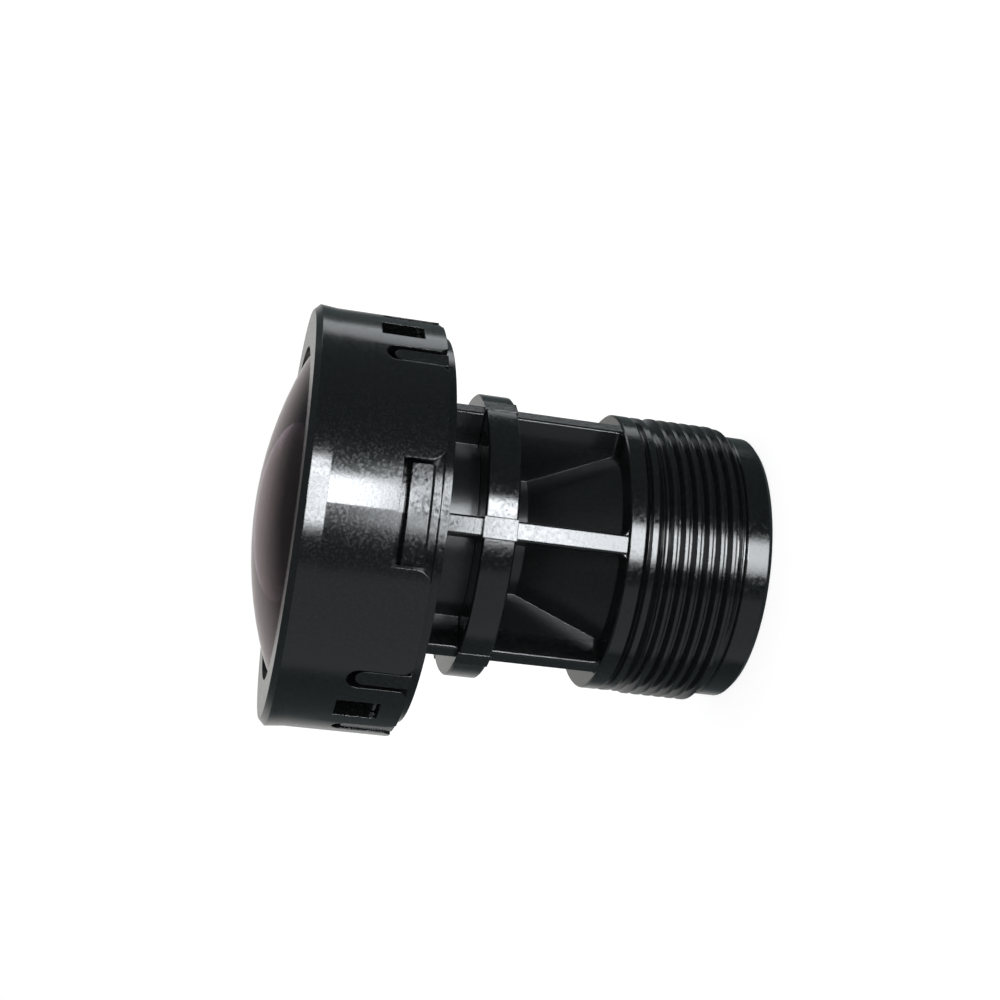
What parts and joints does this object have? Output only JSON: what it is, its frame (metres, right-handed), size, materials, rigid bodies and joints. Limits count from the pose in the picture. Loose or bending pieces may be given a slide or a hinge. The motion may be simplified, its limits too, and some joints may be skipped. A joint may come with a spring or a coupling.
{
  "type": "action camera lens",
  "caption": "Wide-angle action camera lens: domed front glass held by a clipped cap, open ribbed barrel and a fine-thread rear mount.",
  "frame": {"origin": "centre of the rear face, on the optical axis, where the lens stands on its pilot", "axes": "+Z along the optical axis to the front glass, +X through the rib and locating block that face the viewer in the picture"},
  "size_m": [0.0178, 0.0178, 0.0209],
  "materials": {
    "barrel_plastic": "black moulded plastic with a smooth glossy surface",
    "cap_plastic": "black moulded plastic, satin",
    "coated_glass": "polished front glass with a purple-green anti-reflection coating",
    "lens_glass": "polished clear glass",
    "filter_glass": "thin polished filter glass with a cyan tint",
    "seal_rubber": "black silicone rubber",
    "blackened_metal": "turned and blackened, fine satin",
    "shield_film": "thin dull black film"
  },
  "bodies": {
    "root": {"barrel": "barrel_plastic", "front_cap": "cap_plastic", "dome_lens": "coated_glass", "seal_ring": "seal_rubber", "dome_light_shield": "shield_film", "lens_2": "lens_glass", "lens_2_retainer": "blackened_metal", "lens_2_light_shield": "shield_film", "front_spacer": "blackened_metal", "lens_3": "lens_glass", "aperture_stop": "shield_film", "lens_4": "lens_glass", "neck_spacer": "blackened_metal", "pair_light_shield": "shield_film", "pair_crown_lens": "lens_glass", "pair_flint_lens": "lens_glass", "rear_spacer": "blackened_metal", "rear_lens_light_shield": "shield_film", "rear_lens": "lens_glass", "rear_ring_light_shield": "shield_film", "rear_ring": "blackened_metal", "infrared_filter": "filter_glass", "filter_ring": "blackened_metal"}
  },
  "joints": []
}
